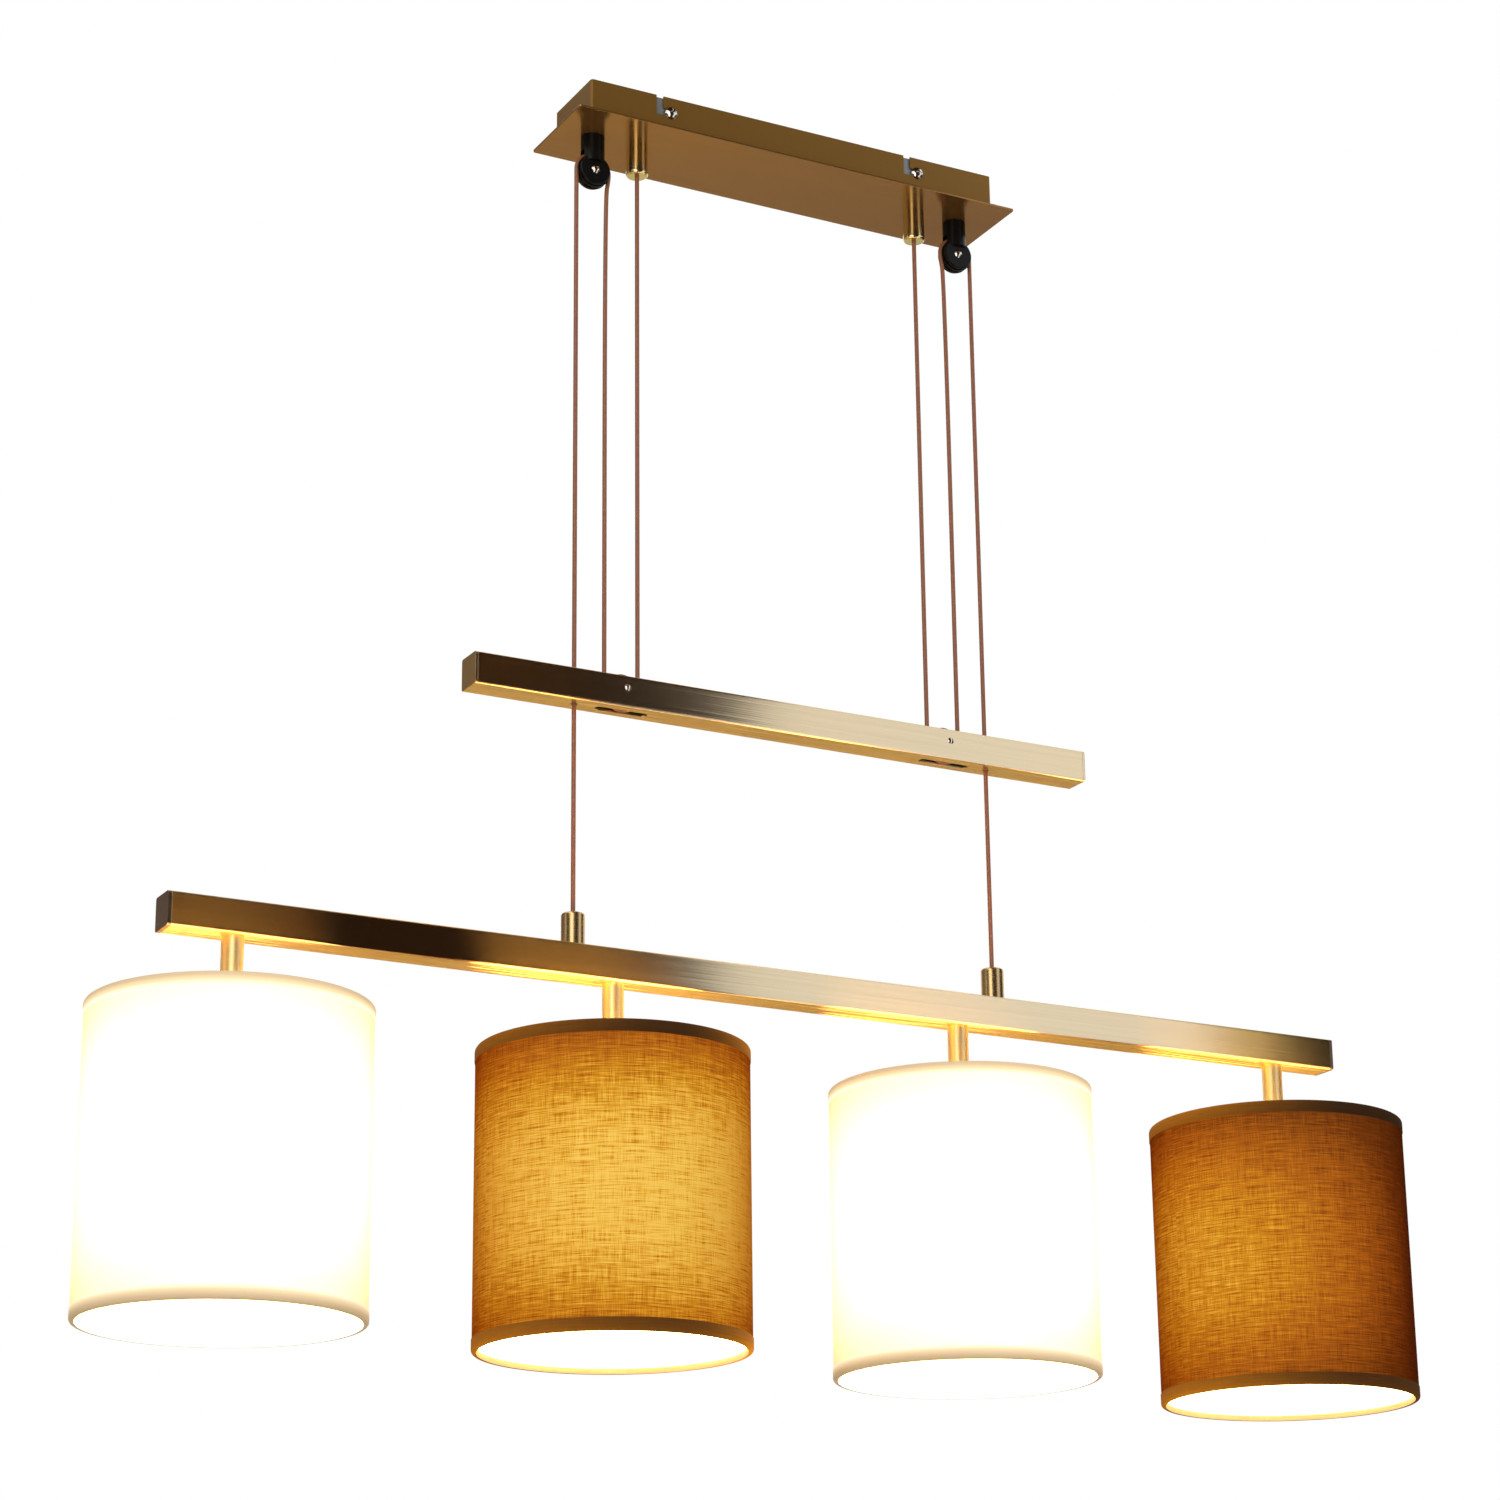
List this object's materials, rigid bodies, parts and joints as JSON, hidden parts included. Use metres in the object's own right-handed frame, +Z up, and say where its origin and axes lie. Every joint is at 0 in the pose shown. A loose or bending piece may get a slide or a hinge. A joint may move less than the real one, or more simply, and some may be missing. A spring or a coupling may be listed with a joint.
{
  "type": "pendant light",
  "caption": "Height-adjustable bar pendant light: a ceiling canopy, cables over pulleys with a counterweight bar, and a lamp bar with drum shades in white and brown fabric.",
  "frame": {"origin": "middle of the mounting bracket's top face, on the ceiling plane", "axes": "+Z up to the ceiling, +X along the bars to the right, -Y to the front with the domed pins"},
  "size_m": [0.8688, 0.1608, 0.792],
  "materials": {
    "antique_brass": "matte",
    "polished_brass": "polished",
    "gloss_brass_plate": "gloss",
    "brushed_brass": "satin",
    "plain_brass": "satin",
    "zinc_steel": "satin",
    "bright_steel": "polished",
    "ballast_steel": "matte",
    "black_moulding": "gloss",
    "copper_cable": "satin",
    "lead_sheath": "matte",
    "terminal_plastic": "matte",
    "holder_plastic": "satin",
    "lit_glass": "gloss",
    "white_wire": "gloss",
    "white_fabric": "matte",
    "brown_fabric": "matte"
  },
  "bodies": {
    "ceiling_unit": {"mounting_bracket": "zinc_steel", "canopy_box": "antique_brass", "canopy_plate": "gloss_brass_plate", "canopy_side_screws": "bright_steel", "terminal_block": "terminal_plastic", "terminal_screws": "plain_brass", "earth_screw": "zinc_steel", "canopy_leads": "lead_sheath", "left_canopy_gland": "polished_brass", "right_canopy_gland": "polished_brass", "canopy_gland_nuts": "plain_brass", "left_pulley_bracket": "black_moulding", "right_pulley_bracket": "black_moulding", "pulley_bracket_screws": "zinc_steel", "pulley_axle_screws": "bright_steel", "left_cable_loop": "copper_cable", "right_cable_loop": "copper_cable", "left_cable_drop": "copper_cable", "right_cable_drop": "copper_cable"},
    "left_canopy_wheel": {"left_canopy_pulley": "black_moulding"},
    "right_canopy_wheel": {"right_canopy_pulley": "black_moulding"},
    "counterweight": {"counterweight_tube": "brushed_brass", "left_counterweight_cap": "brushed_brass", "right_counterweight_cap": "brushed_brass", "centre_ballast": "ballast_steel", "end_ballast": "ballast_steel", "counterweight_axle_pins": "bright_steel"},
    "left_counterweight_wheel": {"left_counterweight_pulley": "black_moulding"},
    "right_counterweight_wheel": {"right_counterweight_pulley": "black_moulding"},
    "lamp": {"lamp_bar": "brushed_brass", "left_bar_cap": "brushed_brass", "right_bar_cap": "brushed_brass", "left_bar_gland": "polished_brass", "right_bar_gland": "polished_brass", "bar_gland_nuts": "plain_brass", "bar_leads": "lead_sheath", "stem_nuts": "plain_brass", "stem_nipples": "plain_brass", "shade_clamp_rings": "holder_plastic", "shade_bottom_rings": "white_wire", "stem_1": "polished_brass", "stem_2": "polished_brass", "stem_3": "polished_brass", "stem_4": "polished_brass", "lampholder_1": "holder_plastic", "lampholder_2": "holder_plastic", "lampholder_3": "holder_plastic", "lampholder_4": "holder_plastic", "bulb_1": "lit_glass", "bulb_2": "lit_glass", "bulb_3": "lit_glass", "bulb_4": "lit_glass", "shade_frame_1": "white_wire", "shade_frame_2": "white_wire", "shade_frame_3": "white_wire", "shade_frame_4": "white_wire", "shade_1": "white_fabric", "shade_2": "brown_fabric", "shade_3": "white_fabric", "shade_4": "brown_fabric"}
  },
  "joints": [
    {"name": "lamp_lift", "type": "slide", "parent": "ceiling_unit", "child": "lamp", "axis": [0, 0, 1], "range_m": [-0.58, 0.08], "deforming": ["left_cable_drop", "right_cable_drop"]},
    {"name": "counterweight_lift", "type": "slide", "parent": "ceiling_unit", "child": "counterweight", "axis": [0, 0, 1], "range_m": [-0.04, 0.29], "deforming": ["left_cable_loop", "right_cable_loop"]},
    {"name": "left_canopy_wheel_spin", "type": "hinge", "parent": "ceiling_unit", "child": "left_canopy_wheel", "pos_m": [-0.133, 0, -0.05], "axis": [0, 1, 0], "continuous": true},
    {"name": "right_canopy_wheel_spin", "type": "hinge", "parent": "ceiling_unit", "child": "right_canopy_wheel", "pos_m": [0.133, 0, -0.05], "axis": [0, 1, 0], "continuous": true},
    {"name": "left_counterweight_wheel_spin", "type": "hinge", "parent": "counterweight", "child": "left_counterweight_wheel", "pos_m": [-0.113, 0, -0.3938], "axis": [0, 1, 0], "continuous": true},
    {"name": "right_counterweight_wheel_spin", "type": "hinge", "parent": "counterweight", "child": "right_counterweight_wheel", "pos_m": [0.113, 0, -0.3938], "axis": [0, 1, 0], "continuous": true}
  ],
  "couplings": [
    {"joint": "counterweight_lift", "follows": "lamp_lift", "ratio": -0.5},
    {"joint": "left_canopy_wheel_spin", "follows": "lamp_lift", "rad_per_m": 89.286},
    {"joint": "right_canopy_wheel_spin", "follows": "lamp_lift", "rad_per_m": -89.286},
    {"joint": "left_counterweight_wheel_spin", "follows": "lamp_lift", "rad_per_m": -44.643},
    {"joint": "right_counterweight_wheel_spin", "follows": "lamp_lift", "rad_per_m": 44.643}
  ]
}
